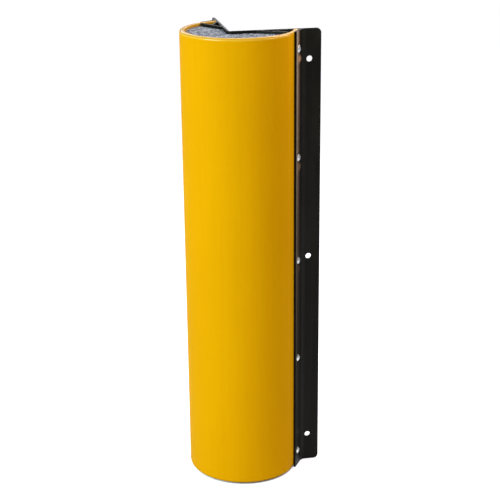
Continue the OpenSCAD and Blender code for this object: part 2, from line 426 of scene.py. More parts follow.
@dataclass(frozen=True)
class PowderBlack:
    """Black powder coat: a fine grain, cloudy dust that grows lighter towards the head and there also paints a
    sheen, rubbed sheet ends, and painted reflections on the clamp strips.
    """

    name: str = "powder_black"
    colour: tuple = (0.005, 0.0047, 0.0034, 1.0)
    # Dust colour, which with its rise towards the head also paints a sheen.
    dust_and_sheen: tuple = (0.016, 0.0155, 0.0125, 1.0)
    rubbed: tuple = (0.065, 0.065, 0.068, 1.0)
    # Colour of the painted glint beside the strip's free edge.
    glint_colour: tuple = (0.3, 0.24, 0.17, 1.0)
    # Colour of the brown painted reflection beside the glint.
    reflection_tail_colour: tuple = (0.16, 0.085, 0.05, 1.0)
    # Colour of the painted reflection below each rivet.
    rivet_reflection_colour: tuple = (0.31, 0.175, 0.09, 1.0)
    dust_and_sheen_share: float = 0.6
    dust_and_sheen_range: tuple = (0.35, 0.75)
    patched: tuple = (0.42, 0.62)
    rub: tuple = (0.9 * MM, 0.2 * MM)
    rub_share: tuple = (0.35, 0.4)
    reflection_tail_share: tuple = (0.62, 0.25)
    glint_share: tuple = (0.8, 0.2)
    cloud_scale: tuple = (14, 14, 5)
    patch_scale: float = 120.0
    grain_scale: float = 900.0
    grain: float = 0.03 * MM
    roughness: float = 0.36
    specular: float = 0.06
    painted_reflections: StripPaintedReflections = StripPaintedReflections()

    def material(self) -> Material:
        """Builds the finish.

        Returns:
            The material.
        """
        g = ShaderGraph(self.name)
        z = g.split(g.place)[2]
        half = SIZES.height / 2
        clouds = g.noise(g.stretched(*self.cloud_scale), 1.0, *ROUGH)
        grain = g.noise(g.place, self.grain_scale, 2.0, 0.6)
        patches = g.noise(g.place, self.patch_scale, *ROUGH).ramp(*self.patched)
        edge = (z - half).size().ramp(half - self.rub[0], half - self.rub[1])
        # Cloudy dust, none at the foot and most at the head; the rise with height is also a painted sheen.
        dust_and_sheen_mask = clouds.ramp(*self.dust_and_sheen_range) * z.ramp(0.0, SIZES.height) * self.dust_and_sheen_share
        # Painted reflections on the clamp strips: the glint, its brown tail and a patch below each rivet.
        painted_glint, reflection_tail, spot = self.painted_reflections.marks(g)
        colour = g.blend(dust_and_sheen_mask, self.colour, self.dust_and_sheen)
        for mark, (least, more), paint in (
            (edge, self.rub_share, self.rubbed),
            (reflection_tail, self.reflection_tail_share, self.reflection_tail_colour),
            (painted_glint, self.glint_share, self.glint_colour),
        ):
            colour = g.blend(mark * (least + patches * more), colour, paint)
        return g.finish(
            {"Specular IOR Level": self.specular},
            {
                "Base Color": g.blend(spot, colour, self.rivet_reflection_colour),
                "Roughness": self.roughness + clouds * 0.14 + grain * 0.06,
                "Normal": g.bump(grain, self.grain),
            },
        )


@dataclass(frozen=True)
class Galvanised:
    """Zinc-plated steel with a soft cloudy tarnish and fine scratches."""

    name: str = "zinc_plate"
    bright: tuple = (0.62, 0.64, 0.67, 1.0)
    dull: tuple = (0.42, 0.42, 0.42, 1.0)
    roughness: float = 0.36
    cloud_scale: float = 160.0
    scratch_scale: tuple = (300, 2600, 900)
    scratch_depth: float = 0.012 * MM
    tarnished: tuple = (0.35, 0.7)
    tarnish_share: float = 0.8

    def material(self) -> Material:
        """Builds the finish.

        Returns:
            The material.
        """
        g = ShaderGraph(self.name)
        clouds = g.noise(g.place, self.cloud_scale, *ROUGH)
        scratches = g.noise(g.stretched(*self.scratch_scale), 1.0)
        return g.finish(
            {"Metallic": 1.0},
            {
                "Base Color": g.blend(clouds.ramp(*self.tarnished) * self.tarnish_share, self.bright, self.dull),
                "Roughness": self.roughness + clouds * 0.16,
                "Normal": g.bump(scratches, self.scratch_depth),
            },
        )


@dataclass(frozen=True)
class BondedFoam:
    """Bonded foam: blue-grey chips pressed together, with dark chips among them and painted shade in the open
    pores.
    """

    pale: tuple = (0.47, 0.52, 0.63, 1.0)
    mid: tuple = (0.15, 0.175, 0.245, 1.0)
    dark: tuple = (0.02, 0.023, 0.032, 1.0)
    chip_scale: float = 260.0
    fleck_scale: float = 340.0
    pore_scale: float = 900.0
    wander_scale: float = 130.0
    wander: float = 0.006
    chip_depth: float = 0.5 * MM
    pore_depth: float = 0.4 * MM
    mixed: tuple = (0.05, 0.95)
    flecked: tuple = (0.7, 0.76)
    fleck_share: float = 0.9
    pore_shade_range: tuple = (0.55, 0.75)
    # Range and share of the painted shade in the open pores.
    pore_shade_share: float = 0.4
    roughness: float = 0.88

    def material(self) -> Material:
        """Builds the finish.

        Returns:
            The material.
        """
        g = ShaderGraph("bonded_foam")
        drift = g.add("ShaderNodeTexNoise", None, {"Vector": g.place, "Scale": self.wander_scale, "Detail": 2.0})
        shift = g.add("ShaderNodeVectorMath", {"operation": "SCALE"}, {0: drift.outputs[1], "Scale": self.wander})
        where = g.add("ShaderNodeVectorMath", {"operation": "ADD"}, {0: g.place, 1: shift.outputs[0]}).outputs[0]
        chips = g.cells(self.chip_scale, "F1", where)
        kind = g.split(chips.outputs["Color"])[0]
        fleck = g.split(g.cells(self.fleck_scale, "F1", where).outputs["Color"])[1].ramp(*self.flecked)
        pores = g.noise(g.place, self.pore_scale, 3.0, 0.7)
        colour = g.blend(kind.ramp(*self.mixed), self.pale, self.mid)
        colour = g.blend(fleck * self.fleck_share, colour, self.dark)
        normal = g.bump(g.number(chips, "Distance"), self.chip_depth)
        return g.finish(
            {"Specular IOR Level": 0.15},
            {
                # Painted shade: the open pores are darkened towards the dark chip colour.
                "Base Color": g.blend(pores.ramp(*self.pore_shade_range) * self.pore_shade_share, colour, self.dark),
                "Roughness": self.roughness + pores * 0.1,
                "Normal": g.bump(pores, self.pore_depth, normal),
            },
        )


@dataclass(frozen=True)
class Paper:
    """The studio's plain pale floor, glowing like a light table, with a painted contact shadow where the glow stops
    under the guard.
    """

    colour: tuple = (0.9, 0.9, 0.9, 1.0)
    light: tuple = (1.0, 1.01, 1.08, 1.0)
    # Glow colour of the painted contact shadow.
    dark: tuple = (0.0, 0.0, 0.0, 1.0)
    glow: float = 0.735
    edge: float = 10 * MM

    def material(self) -> Material:
        """Builds the finish.

        Returns:
            The material.
        """
        s, g = SIZES, ShaderGraph("pale_paper")
        x, y, _ = g.split(g.place)
        in_corner = x.ramp(s.leg_face, 0.0) * y.ramp(s.leg_face, 0.0)
        x, y = x - s.axis, y - s.axis
        from_axis = (x * x + y * y) ** 0.5
        # Painted contact shadow: no glow inside the shell's outline, fading in over its last centimetre, except in
        # the wall quarter behind the steel.
        glow_outside_painted_shadow = from_axis.ramp(s.shell_radius - self.edge, s.shell_radius).most(in_corner)
        return g.finish(
            {"Base Color": self.colour, "Roughness": 1.0, "Specular IOR Level": 0.0},
            {"Emission Color": g.blend(glow_outside_painted_shadow, self.dark, self.light), "Emission Strength": self.glow},
        )


class Finishes:
    """Every finish of the guard, made once."""

    def __init__(self) -> None:
        """Makes the materials."""
        self.yellow = PipeYellow().material()
        self.steel = PowderBlack().material()
        self.weld = PowderBlack("powder_black_weld", grain=0.06 * MM, specular=0.08).material()
        self.zinc = Galvanised().material()
        self.bare = Galvanised("bare_steel", (0.4, 0.39, 0.38, 1), (0.2, 0.19, 0.18, 1), 0.4).material()
        self.foam = BondedFoam().material()


def linked(name: str, data: ID) -> Object:
    """Puts a mesh, a light or a camera into the scene as an object at the origin.

    Args:
        name: The object's name.
        data: What it shows.

    Returns:
        The object.
    """
    piece = bpy.data.objects.new(name, data)
    bpy.context.scene.collection.objects.link(piece)
    return piece


def meshed(work: bmesh.types.BMesh, name: str) -> Mesh:
    """Turns a working mesh into a plain one and frees it.

    Args:
        work: The working mesh.
        name: Name of the plain one.

    Returns:
        The plain mesh.
    """
    mesh = bpy.data.meshes.new(name)
    work.to_mesh(mesh)
    work.free()
    return mesh


def settle(piece: Object, sharp: float) -> None:
    """Turns an object's modifiers into a plain mesh with smooth faces and sharp edges.

    Args:
        piece: The object.
        sharp: Angle in degrees from which an edge is sharp.
    """
    graph = bpy.context.evaluated_depsgraph_get()
    graph.update()
    mesh = bpy.data.meshes.new_from_object(piece.evaluated_get(graph), depsgraph=graph)
    old = piece.data
    piece.modifiers.clear()
    piece.data = mesh
    bpy.data.meshes.remove(old)
    mesh.name = piece.name
    mesh.shade_smooth()
    mesh.set_sharp_from_angle(angle=math.radians(sharp))


def deliver(piece: Object, material: Material, nodes: list[str]) -> None:
    """Dresses every face of a finished piece in one material and hands it to the frame.

    Args:
        piece: The piece, with its mesh final.
        material: Its finish.
        nodes: The CAD nodes that it stands for.
    """
    mesh = piece.data
    mesh.materials.clear()
    mesh.materials.append(material)
    mesh.polygons.foreach_set("material_index", [0] * len(mesh.polygons))
    mesh.update()
    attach(piece, BODY)
    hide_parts(*nodes)
    LOG.info("%s: %d faces, for %s", piece.name, len(mesh.polygons), ", ".join(nodes))


def lathe(name: str, outline: Outline, strokes: int) -> Mesh:
    """Turns an outline about Z.

    Args:
        name: Name of the mesh.
        outline: Radius and height of each point, closed on itself or on the axis.
        strokes: Faces round the axis.

    Returns:
        The turned mesh, with its faces outwards.
    """
    work = bmesh.new()
    points = [work.verts.new((radius, 0, height)) for radius, height in outline]
    edges = [work.edges.new(pair) for pair in zip(points, points[1:])]
    if outline[0][0] > 0 and outline[-1][0] > 0:
        edges.append(work.edges.new((points[-1], points[0])))
    whole = {"cent": (0, 0, 0), "axis": (0, 0, 1), "angle": math.tau}
    bmesh.ops.spin(work, geom=points + edges, steps=strokes, use_duplicate=False, **whole)
    bmesh.ops.remove_doubles(work, verts=work.verts, dist=MERGE)
    bmesh.ops.recalc_face_normals(work, faces=work.faces)
    return meshed(work, name)


def arc(centre: tuple[float, float], radius: float, start: float, end: float, strokes: int) -> Outline:
    """Points on an arc between two angles in degrees, both ends among them."""
    turns = [math.radians(start + (end - start) * i / strokes) for i in range(strokes + 1)]
    return [(centre[0] + radius * math.cos(turn), centre[1] + radius * math.sin(turn)) for turn in turns]


class GeometryGraph(Graph):
    """A Geometry Nodes tree with named inputs."""

    def __init__(self, name: str, takes_mesh: bool = False) -> None:
        """Makes an empty tree.

        Args:
            name: Name of the tree.
            takes_mesh: Whether it reads the mesh of its object.
        """
        group = bpy.data.node_groups.new(name, "GeometryNodeTree")
        super().__init__(group)
        self.values: dict[str, object] = {}
        if takes_mesh:
            group.interface.new_socket("Mesh", in_out="INPUT", socket_type="NodeSocketGeometry")
        group.interface.new_socket("Mesh", in_out="OUTPUT", socket_type="NodeSocketGeometry")
        self.entry = self.add("NodeGroupInput")

    def input(self, name: str, value: object, kind: str = "Float") -> Number:
        """Adds a named input.

        Args:
            name: Its name.
            value: What the modifier gives it.
            kind: Float, Int, Material or Vector.

        Returns:
            The input as a Number, or as a wrapped socket of its kind.
        """
        self.tree.interface.new_socket(name, in_out="INPUT", socket_type=f"NodeSocket{kind}")
        self.values[name] = value
        return Number(self, self.entry.outputs[name])

    def capture(self, geometry: NodeSocket, value: object, kind: str) -> tuple[NodeSocket, Number]:
        """Keeps a value of each point on the geometry.

        Args:
            geometry: The geometry socket.
            value: What is kept.
            kind: FLOAT or VECTOR.

        Returns:
            The geometry and the kept value.
        """
        node = self.add("GeometryNodeCaptureAttribute", {"domain": "POINT"})
        node.capture_items.new(kind, "Kept")
        self.connect(geometry, node.inputs[0])
        self.connect(value, node.inputs[1])
        return node.outputs[0], self.number(node, 1)

    def sweep(self, section: NodeSocket, points: Number) -> tuple[NodeSocket, Number]:
        """Sweeps a closed section along a line of unit length.

        Args:
            section: The section's curve.
            points: Number of points on the line.

        Returns:
            The closed bar, and each of its points' share of the way along.
        """
        line = self.add("GeometryNodeCurvePrimitiveLine", None, {"Start": (0, 0, 0), "End": (0, 0, 1)})
        evenly = self.add("GeometryNodeResampleCurve", None, {"Curve": line.outputs[0], "Count": points})
        share = self.add("GeometryNodeSplineParameter").outputs[0]
        path, along = self.capture(evenly.outputs[0], share, "FLOAT")
        inputs = {"Curve": path, "Profile Curve": section, "Fill Caps": True}
        bar = self.add("GeometryNodeCurveToMesh", None, inputs)
        return bar.outputs[0], along

    def end(self, geometry: NodeSocket, material: Number) -> None:
        """Ends the tree in Realize Instances and Set Material.

        Args:
            geometry: The geometry socket.
            material: The finish.
        """
        real = self.add("GeometryNodeRealizeInstances", None, {0: geometry})
        dressed = self.add("GeometryNodeSetMaterial", None, {"Geometry": real.outputs[0], "Material": material})
        self.add("NodeGroupOutput", None, {0: dressed.outputs[0]})

    def grow(self, name: str, mesh: Mesh, sharp: float) -> Object:
        """Grows a piece out of the tree, with each input set by its identifier.

        Args:
            name: Name of the piece.
            mesh: The mesh that the tree starts from.
            sharp: Angle in degrees from which an edge is sharp.

        Returns:
            The piece, with a plain mesh.
        """
        piece = linked(name, mesh)
        modifier = piece.modifiers.new(self.tree.name, "NODES")
        modifier.node_group = self.tree
        for item in self.tree.interface.items_tree:
            if item.item_type == "SOCKET" and item.in_out == "INPUT" and item.name in self.values:
                modifier[item.identifier] = self.values[item.name]
        settle(piece, sharp)
        return piece


@dataclass
class Shell:
    """The yellow pipe shell, bent from a straight bar with rounded rims, with flat seats for the strips."""

    finishes: Finishes
    sizes: Sizes = SIZES
    sweep_strokes: int = 242
    side_cuts: int = 19
    rim_strokes: int = 7
    turn: float = -1.5 * math.pi
    hole_radius: float = 4.0 * MM
    hole_depth: float = 8 * MM
    spot_radius: float = 9.5 * MM
    spot_depth: float = 9 * MM
    spot_seat: float = 112.84 * MM
    drill_strokes: int = 32
    sharp: float = 30.0
    name: str = "pipe_shell"

    def tree(self) -> GeometryGraph:
        """Builds the tree that sweeps the wall's section round the pipe axis.

        Returns:
            The tree with its inputs.
        """
        s = self.sizes
        g = GeometryGraph("pipe_shell_sweep")
        outer = g.input("Outer radius", s.shell_radius)
        wall = g.input("Wall", s.shell_wall)
        foot = g.input("Foot height", s.shell_foot)
        head = g.input("Head height", s.height)
        rim = g.input("Outer rim radius", s.rim)
        inner_rim = g.input("Inner rim radius", s.inner_rim)
        cut = g.input("Cut distance from axis", s.axis - s.leg_face + s.end_gap)
        axis = g.input("Axis offset", s.axis)
        seat = g.input("Seat distance", s.strip_seat)
        normal = g.input("Seat direction", s.normal_angle)
        strokes = g.input("Strokes", self.sweep_strokes, "Int")
        material = g.input("Finish", self.finishes.yellow, "Material")

        tall = head - foot
        size = {"Width": wall, "Height": tall}
        box = g.add("GeometryNodeCurvePrimitiveQuadrilateral", {"mode": "RECTANGLE"}, size)
        position = g.add("GeometryNodeInputPosition").outputs[0]
        index = g.number(g.add("GeometryNodeInputIndex"))
        upright = index.math("MODULO", 2.0)
        cuts = g.add("GeometryNodeSubdivideCurve", None, {0: box.outputs[0], "Cuts": upright * self.side_cuts})
        across, up, _ = g.split(position)
        corner = up.size().above(tall / 2 - 0.1 * MM)
        outside = across.above(0.0)
        radius = corner * (outside * rim + (1 - outside) * inner_rim)
        fillet = {0: cuts.outputs[0], 1: self.rim_strokes, 2: radius}
        rounded = g.add("GeometryNodeFilletCurve", {"mode": "POLY"}, fillet)
        section, kept_place = g.capture(rounded.outputs[0], position, "VECTOR")
        bar, along = g.sweep(section, strokes + 1)

        from_middle, height, _ = g.split(kept_place)
        r = outer - wall / 2 + from_middle
        first = (cut / r).math("ARCSINE") * -1
        theta = first + along * (self.turn - first * 2)
        x, y = r * theta.cosine(), r * theta.sine()
        for turn_x, turn_y in ((normal.cosine(), normal.sine()), (normal.sine(), normal.cosine())):
            proud = (x * turn_x + y * turn_y - seat).most(0.0)
            x, y = x - proud * turn_x, y - proud * turn_y
        place = g.join(x + axis, y + axis, (foot + head) / 2 + height)
        bent = g.add("GeometryNodeSetPosition", None, {"Geometry": bar, "Position": place})
        g.end(bent.outputs[0], material)
        return g

    def drills(self) -> Object:
        """Makes what the rivet holes and the spot faces take out of the shell.

        Returns:
            All of it as one object.
        """
        s = self.sizes
        work = bmesh.new()
        for side in Side:
            turn = Matrix.Rotation(side.turn(s.normal_angle), 4, "Z") @ Matrix.Rotation(math.pi / 2, 4, "Y")
            for i in range(s.rivet_count):
                for radius, inner, outer in (
                    (self.hole_radius, self.spot_seat - self.hole_depth, s.strip_face),
                    (self.spot_radius, self.spot_seat - self.spot_depth, self.spot_seat),
                ):
                    x, y = s.on_strip(side, (inner + outer) / 2, s.rivet_set)
                    move = Matrix.Translation((x, y, s.rivet_first + i * s.rivet_step))
                    drill = {"segments": self.drill_strokes, "radius1": radius, "radius2": radius}
                    bmesh.ops.create_cone(work, cap_ends=True, depth=outer - inner, matrix=move @ turn, **drill)
        return linked("drills", meshed(work, "drills"))

    def build(self) -> None:
        """Makes the shell and hands it to the frame."""
        piece = self.tree().grow(self.name, bpy.data.meshes.new(self.name), self.sharp)
        face_out(piece.data)
        drills = self.drills()
        holes = piece.modifiers.new("holes", "BOOLEAN")
        holes.operation = "DIFFERENCE"
        holes.solver = "EXACT"
        holes.use_self = True
        holes.object = drills
        settle(piece, self.sharp)
        bpy.data.objects.remove(drills)
        deliver(piece, self.finishes.yellow, ["shell"])


def face_out(mesh: Mesh) -> None:
    """Merges doubles and turns the faces of a closed mesh outwards.

    Args:
        mesh: The mesh, which is changed in place.
    """
    work = bmesh.new()
    work.from_mesh(mesh)
    bmesh.ops.remove_doubles(work, verts=work.verts, dist=MERGE)
    bmesh.ops.recalc_face_normals(work, faces=work.faces)
    if work.calc_volume(signed=True) < 0:
        bmesh.ops.reverse_faces(work, faces=work.faces)
    work.to_mesh(mesh)
    work.free()


@dataclass
class Steelwork:
    """The folded angle and the plates on it: the CAD outlines with their edges broken, like deburred sheet."""

    nodes: dict
    finishes: Finishes
    edge: float = 0.7 * MM
    strokes: int = 3
    flat: float = math.radians(0.4)
    corner: float = math.radians(32)
    sharp: float = 40.0

    def plate(self, node: str, name: str) -> None:
        """Makes one steel piece and hands it to the frame.

        Args:
            node: Its CAD node.
            name: The piece's name.
        """
        work = bmesh.new()
        work.from_mesh(self.nodes[node].data)
        bmesh.ops.remove_doubles(work, verts=work.verts, dist=CAD_MERGE)
        bmesh.ops.dissolve_limit(work, angle_limit=self.flat, verts=work.verts, edges=work.edges)
        piece = linked(name, meshed(work, name))
        piece.data.shade_smooth()
        broken = piece.modifiers.new("broken_edges", "BEVEL")
        broken.width = self.edge
        broken.segments = self.strokes
        broken.limit_method = "ANGLE"
        broken.angle_limit = self.corner
        broken.miter_outer = "MITER_ARC"
        broken.harden_normals = True
        settle(piece, self.sharp)
        deliver(piece, self.finishes.steel, [node])

    def build(self) -> None:
        """Makes every steel piece."""
        self.plate("wall_angle", "folded_angle")
        kinds = (("clamp_strip", "clamp_plate"), ("inner_web", "web_plate"), ("web_brace", "brace_plate"))
        for side in Side:
            for node, name in kinds:
                self.plate(f"{node}_{side.value}", f"{name}_{side.value}")


@dataclass(frozen=True)
class Seam:
    """One kind of fillet weld, on the right: the angles of its two faces, and the sizes of its bead."""

    node: str
    name: str
    root_x: float
    first_face: float
    opening: float
    radius: float
    pitch: float
    ripple: float
    seed: float


@dataclass
class Welds:
    """Fillet welds with the ripples of a hand-laid bead."""

    finishes: Finishes
    sizes: Sizes = SIZES
    strokes: int = 10
    step: float = 1.6 * MM
    web_angle: float = math.radians(31.5)
    web_front: float = 55 * MM
    web_wall: float = 4 * MM
    left_seed: float = 40.0
    bow: float = 0.7
    drift: float = 0.9
    drift_scale: float = 60.0
    wave_share: float = 0.7
    lump_share: float = 1.2
    lump_scale: float = 90.0
    lump_width: float = 0.01
    lump_level: float = 0.4
    sharp: float = 50.0

    def seams(self) -> list[Seam]:
        """Places the right-hand seams.

        Returns:
            Clamp strip to leg, and inner web to leg.
        """
        s, web = self.sizes, self.web_angle
        angle = s.strip_angle
        run = (s.strip_face * math.cos(angle) - s.axis + s.leg_face) / math.sin(angle)
        strip_x = s.on_strip(Side.RIGHT, s.strip_face, run)[0]
        web_x = self.web_front + self.web_wall / math.sin(web)
        strip_bead = (13 * MM, 6.5 * MM, 0.5 * MM, 3.0)
        web_bead = (3 * MM, 5 * MM, 0.25 * MM, 11.0)
        return [
            Seam("strip_weld", "strip_bead", strip_x, math.pi + angle, math.pi - angle, *strip_bead),
            Seam("web_weld", "web_bead", web_x, -web, web, *web_bead),
        ]

    def tree(self, seam: Seam, side: Side) -> GeometryGraph:
        """Builds the tree of one bead.

        Args:
            seam: The kind of weld.
            side: The side of the guard.

        Returns:
            The tree with its inputs.
        """
        g = GeometryGraph(f"{seam.name}_{side.value}_run")
        height = g.input("Height", self.sizes.height)
        radius = g.input("Hollow radius", seam.radius)
        opening = g.input("Opening angle", seam.opening)
        first_face = g.input("First face direction", seam.first_face)
        root_x = g.input("Root X", seam.root_x)
        root_y = g.input("Root Y", self.sizes.leg_face)
        pitch = g.input("Ripple pitch", seam.pitch)
        ripple = g.input("Ripple height", seam.ripple)
        seed = g.input("Seed", seam.seed + (0.0 if side is Side.RIGHT else self.left_seed))
        points = g.input("Steps along", round(self.sizes.height / self.step), "Int")
        material = g.input("Finish", self.finishes.weld, "Material")

        index = g.number(g.add("GeometryNodeInputIndex"))
        line = g.add("GeometryNodeMeshLine", None, {"Count": self.strokes + 2, "Offset": (MM, 0, 0)})
        curve = g.add("GeometryNodeMeshToCurve", None, {0: line.outputs[0]})
        turn = index / (self.strokes + 1) * math.tau
        small = g.join(turn.cosine() * MM, turn.sine() * MM, 0.0)
        ring = g.add("GeometryNodeSetPosition", None, {0: curve.outputs[0], "Position": small})
        closed = g.add("GeometryNodeSetSplineCyclic", None, {0: ring.outputs[0], "Cyclic": True})
        section, number = g.capture(closed.outputs[0], index, "FLOAT")
        bar, share = g.sweep(section, points)

        z = share * height
        on_hollow = number.above(0.5)
        across = (number - 1) / self.strokes
        bend = across * -1 * (math.pi - opening) - math.pi / 2
        reach = radius / (opening / 2).math("TANGENT")
        middle = 1 - (across * 2 - 1) ** 2
        drift = g.noise(g.join(z, seed, 0.0), self.drift_scale) - 0.5
        phase = (z + middle * pitch * self.bow + drift * pitch * self.drift) / pitch
        wave = (phase * math.tau).sine() * 0.5 + 0.5
        lumps = g.noise(g.join(z, across * self.lump_width, seed), self.lump_scale) - self.lump_level
        rise = (wave * self.wave_share + lumps * self.lump_share) * ripple * middle
        hollow = radius - rise
        u = (reach + hollow * bend.cosine()) * on_hollow
        v = (radius + hollow * bend.sine()) * on_hollow
        x = root_x + u * first_face.cosine() - v * first_face.sine()
        y = root_y + u * first_face.sine() + v * first_face.cosine()
        place = g.join(*side.swap(x, y), z)
        laid = g.add("GeometryNodeSetPosition", None, {0: bar, "Position": place})
        g.end(laid.outputs[0], material)
        return g

    def build(self) -> None:
        """Lays every bead."""
        for seam in self.seams():
            for side in Side:
                name = f"{seam.name}_{side.value}"
                piece = self.tree(seam, side).grow(name, bpy.data.meshes.new(name), self.sharp)
                face_out(piece.data)
                deliver(piece, self.finishes.weld, [f"{seam.node}_{side.value}"])


@dataclass
class Rivets:
    """Set blind rivets: domed head, body and bulb in one, a broken mandrel and a washer inside the shell."""

    finishes: Finishes
    sizes: Sizes = SIZES
    strokes: int = 40
    head: float = 8 * MM
    dome: float = 4 * MM
    edge: float = 0.8 * MM
    broken: float = 0.15 * MM
    mouth: float = 0.55 * MM
    mouth_depth: float = 0.5 * MM
    body: float = 3.9 * MM
    bore: float = 2.5 * MM
    bulb: float = 5.5 * MM
    bulb_length: float = 4.6 * MM
    bulb_round: float = 1.2 * MM
    dome_strokes: int = 9
    bulb_strokes: int = 4
    mandrel: float = 2.4 * MM
    stub: float = 0.8 * MM
    burr: float = 0.35 * MM
    mandrel_head: float = 3.2 * MM
    mandrel_end: float = 2.2 * MM
    mandrel_edge: float = 0.6 * MM
    washer: float = 8.5 * MM
    washer_thick: float = 1.5 * MM
    washer_bore: float = 4.0 * MM
    washer_edge: float = 0.25 * MM
    sharp: float = 38.0
    first_seed: int = 5

    def rivet_outline(self) -> Outline:
        """Draws half the section of a set rivet, from the mandrel's mouth over the dome to the bulb.

        Returns:
            The radius and height of each point.
        """
        low, soft = -self.sizes.grip, self.bulb_round
        rise = self.dome - self.edge
        ball = (self.head**2 + rise**2) / (2 * rise)
        start, end = (math.degrees(math.acos(radius / ball)) for radius in (self.bore + self.mouth, self.head))
        dome = arc((0.0, self.dome - ball), ball, start, end, self.dome_strokes)
        top, foot = dome[0][1], low - self.bulb_length
        return [
            (self.bore, top - self.mouth_depth),
            (self.bore + self.broken, top - self.broken),
            *dome[:-1],
            (self.head, self.edge),
            (self.head, self.broken),
            (self.head - self.broken, 0.0),
            (self.body, 0.0),
            (self.body, low),
            (self.bulb - soft, low),
            *arc((self.bulb - soft, low - soft), soft, 80, 0, self.bulb_strokes),
            *arc((self.bulb - soft, foot + soft), soft, 0, -90, self.bulb_strokes),
            (self.bore, foot),
        ]

    def mandrel_outline(self) -> Outline:
        """Draws half the section of the mandrel, from its broken end to its head.

        Returns:
            The radius and height of each point.
        """
        top, foot = self.dome - self.stub, -self.sizes.grip - self.bulb_length
        end = foot - self.mandrel_end
        return [
            (0.0, top - 0.25 * MM),
            (self.mandrel * 0.55, top - 0.1 * MM),
            (self.mandrel - self.burr, top),
            (self.mandrel, top - self.burr),
            (self.mandrel, foot),
            (self.mandrel_head, foot),
            (self.mandrel_head, end + self.mandrel_edge),
            (self.mandrel_head - self.mandrel_edge, end),
            (0.0, end),
        ]

    def washer_outline(self) -> Outline:
        """Draws half the section of a washer with its edges broken.

        Returns:
            The radius and height of each point.
        """
        low, soft = -self.sizes.grip, self.washer_edge
        high = low + self.washer_thick
        return [
            (self.washer_bore, low),
            (self.washer_bore, high),
            (self.washer - soft, high),
            (self.washer, high - soft),
            (self.washer, low + soft),
            (self.washer - soft, low),
        ]

    def tree(self, name: str, side: Side, material: Material, seed: int) -> GeometryGraph:
        """Builds the tree that sets one turned piece at every rivet of a row.

        Args:
            name: Name of the tree.
            side: The side of the guard.
            material: The finish.
            seed: Seed of the turn that each piece gets about its own axis.

        Returns:
            The tree with its inputs.
        """
        s = self.sizes
        x, y = s.on_strip(side, s.strip_face, s.rivet_set)
        g = GeometryGraph(name, takes_mesh=True)
        count = g.input("Count", s.rivet_count, "Int")
        first = g.input("First height", s.rivet_first)
        step = g.input("Step", s.rivet_step)
        place_x = g.input("Place X", x)
        place_y = g.input("Place Y", y)
        facing = g.input("Head direction", side.turn(s.normal_angle))
        seed_in = g.input("Seed", seed, "Int")
        finish = g.input("Finish", material, "Material")
        start, offset = g.join(place_x, place_y, first), g.join(0.0, 0.0, step)
        line = g.add("GeometryNodeMeshLine", None, {"Count": count, "Start Location": start, "Offset": offset})
        upright = g.join(0.0, math.pi / 2, facing)
        row = {"Points": line.outputs[0], "Instance": g.entry.outputs["Mesh"], "Rotation": upright}
        set_in = g.add("GeometryNodeInstanceOnPoints", None, row)
        spin = g.add("FunctionNodeRandomValue", {"data_type": "FLOAT"}, {2: 0.0, 3: math.tau, "Seed": seed_in})
        about = g.join(0.0, 0.0, spin.outputs[1])
        own = {"Instances": set_in.outputs[0], "Rotation": about, "Local Space": True}
        turned = g.add("GeometryNodeRotateInstances", None, own)
        g.end(turned.outputs[0], finish)
        return g

    def build(self) -> None:
        """Sets every rivet, mandrel and washer, one row of each to a side."""
        kinds = (
            ("rivet", "rivet_row", self.rivet_outline(), self.finishes.zinc, "zinc"),
            ("rivet_mandrel", "mandrel_row", self.mandrel_outline(), self.finishes.bare, "bare_steel"),
            ("rivet_washer", "washer_row", self.washer_outline(), self.finishes.zinc, "zinc"),
        )
        for kind, (node, name, outline, material, slot) in enumerate(kinds):
            for side in Side:
                full = f"{name}_{side.value}"
                tree = self.tree(full, side, material, self.first_seed + kind)
                piece = tree.grow(full, lathe(full, outline, self.strokes), self.sharp)
                numbers = range(1, self.sizes.rivet_count + 1)
                deliver(piece, material, [f"{node}_{side.value}_{number}" for number in numbers])


